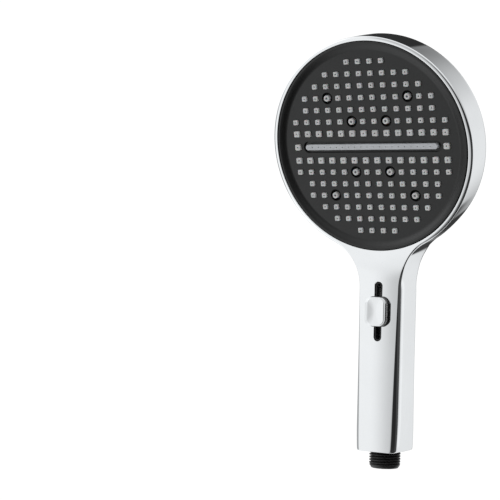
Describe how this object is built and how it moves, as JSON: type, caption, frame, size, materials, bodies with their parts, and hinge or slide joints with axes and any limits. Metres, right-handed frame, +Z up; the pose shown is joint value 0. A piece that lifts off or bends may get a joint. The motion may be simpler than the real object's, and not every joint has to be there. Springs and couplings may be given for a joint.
{
  "type": "handheld shower head",
  "caption": "Chrome handheld shower head: a flat tapered handle runs into a round spray head with a dark face, grey nozzles and a central jet bar, a slide diverter and a threaded inlet.",
  "frame": {"origin": "centre of the threaded inlet's end face, on the thread's axis", "axes": "+Z up the handle from the inlet towards the head, -Y towards the user and the spray, X across; the outer shape is symmetric about X = 0"},
  "size_m": [0.146, 0.0682, 0.2889],
  "materials": {
    "chrome_plated_abs": "polished chrome plating on moulded ABS",
    "black_abs": "moulded black plastic, low gloss",
    "satin_black_abs": "fine satin grain",
    "grey_silicone": "soft matt mid-grey silicone",
    "light_grey_abs": "moulded light grey, slightly cool",
    "white_acetal": "natural white engineering plastic",
    "black_rubber": "matt black elastomer",
    "stainless_steel": "bright drawn steel"
  },
  "bodies": {
    "housing": {"body_shell": "chrome_plated_abs", "face_plate": "satin_black_abs", "nozzle_mat": "grey_silicone", "curtain_jet_bar": "light_grey_abs", "jet_plate": "white_acetal", "channel_gasket": "black_rubber", "channel_plate": "white_acetal", "face_seal_ring": "black_rubber", "plate_screw_1": "stainless_steel", "plate_screw_2": "stainless_steel", "plate_screw_3": "stainless_steel", "plate_screw_4": "stainless_steel", "manifold_gasket": "black_rubber", "waterway_manifold": "white_acetal", "core_gasket": "black_rubber", "waterway_core": "white_acetal", "slide_track": "black_abs", "inlet_connector": "black_abs", "connector_seal_ring": "black_rubber", "filter_screen": "stainless_steel", "flow_regulator": "white_acetal", "check_valve_body": "white_acetal"},
    "slider": {"slider_cap": "chrome_plated_abs", "slider_grip": "black_abs", "slider_carriage": "black_abs", "detent_spring": "stainless_steel", "drive_pin": "stainless_steel", "diverter_spool": "white_acetal", "spool_seal_1": "black_rubber", "spool_seal_2": "black_rubber", "spool_seal_3": "black_rubber", "spool_seal_4": "black_rubber"},
    "check_valve": {"check_valve_poppet": "white_acetal", "check_valve_spring": "stainless_steel"}
  },
  "joints": [
    {"name": "slider_slide", "type": "slide", "parent": "housing", "child": "slider", "axis": [0, 0, 1], "range_m": [-0.01, 0.01]},
    {"name": "check_valve_lift", "type": "slide", "parent": "housing", "child": "check_valve", "axis": [0, 0, 1], "range_m": [0, 0.002], "stiffness_N_per_m": 40, "springref_m": -0.001, "deforming": ["check_valve_spring"]}
  ]
}
